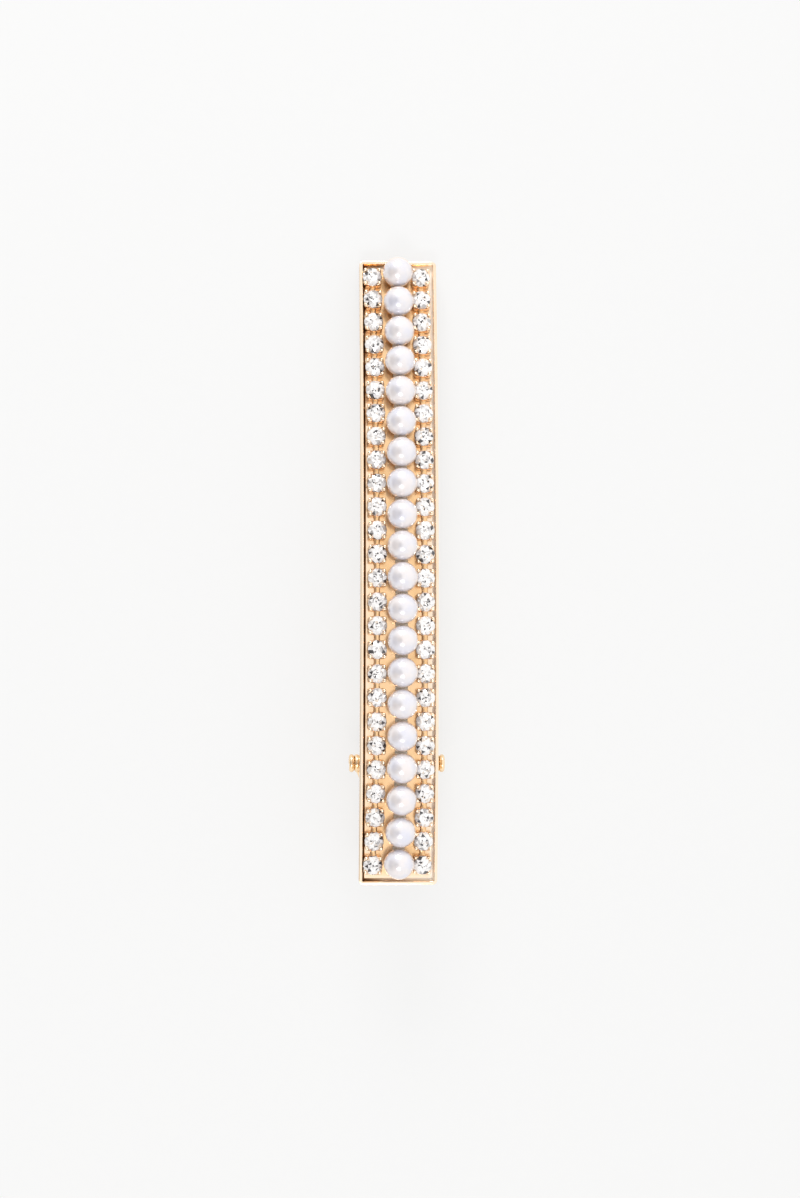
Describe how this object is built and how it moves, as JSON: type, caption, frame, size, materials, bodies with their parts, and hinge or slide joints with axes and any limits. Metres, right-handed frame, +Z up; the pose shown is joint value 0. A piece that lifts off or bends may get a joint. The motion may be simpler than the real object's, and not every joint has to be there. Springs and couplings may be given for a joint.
{
  "type": "lever clip barrette",
  "caption": "Lever clip barrette: an arched rimmed gold-tone plate with a pearl row between two rhinestone cup chains, on a sprung two-arm clip.",
  "frame": {"origin": "on the surface the clip rests on, under the middle of the whole object", "axes": "+Y along the plate towards the jaw tip, +Z up through the decorated face, +X across the plate"},
  "size_m": [0.0122, 0.082, 0.0143],
  "materials": {
    "gold_plate": "polished light gold plating",
    "spring_wire": "bright drawn wire with gold plating",
    "rhinestone": "clear foiled stones in gold cups",
    "pearl": "white pearl lacquer",
    "clear_glue": "dried clear glue"
  },
  "bodies": {
    "plate": {"deco_tray": "gold_plate", "upper_arm": "gold_plate", "hinge_pin": "gold_plate", "torsion_spring": "spring_wire", "pearl_glue": "clear_glue", "rhinestone_chain_left": "rhinestone", "rhinestone_chain_right": "rhinestone", "pearl_01": "pearl", "pearl_02": "pearl", "pearl_03": "pearl", "pearl_04": "pearl", "pearl_05": "pearl", "pearl_06": "pearl", "pearl_07": "pearl", "pearl_08": "pearl", "pearl_09": "pearl", "pearl_10": "pearl", "pearl_11": "pearl", "pearl_12": "pearl", "pearl_13": "pearl", "pearl_14": "pearl", "pearl_15": "pearl", "pearl_16": "pearl", "pearl_17": "pearl", "pearl_18": "pearl", "pearl_19": "pearl", "pearl_20": "pearl"},
    "jaw": {"lower_arm": "gold_plate"}
  },
  "joints": [
    {"name": "lever_hinge", "type": "hinge", "parent": "plate", "child": "jaw", "pos_m": [0, -0.02553, 0.00681], "axis": [-1, 0, 0], "range_deg": [0, 25], "stiffness_Nm_per_rad": 0.09, "springref_deg": -57.3, "deforming": ["torsion_spring"]}
  ]
}
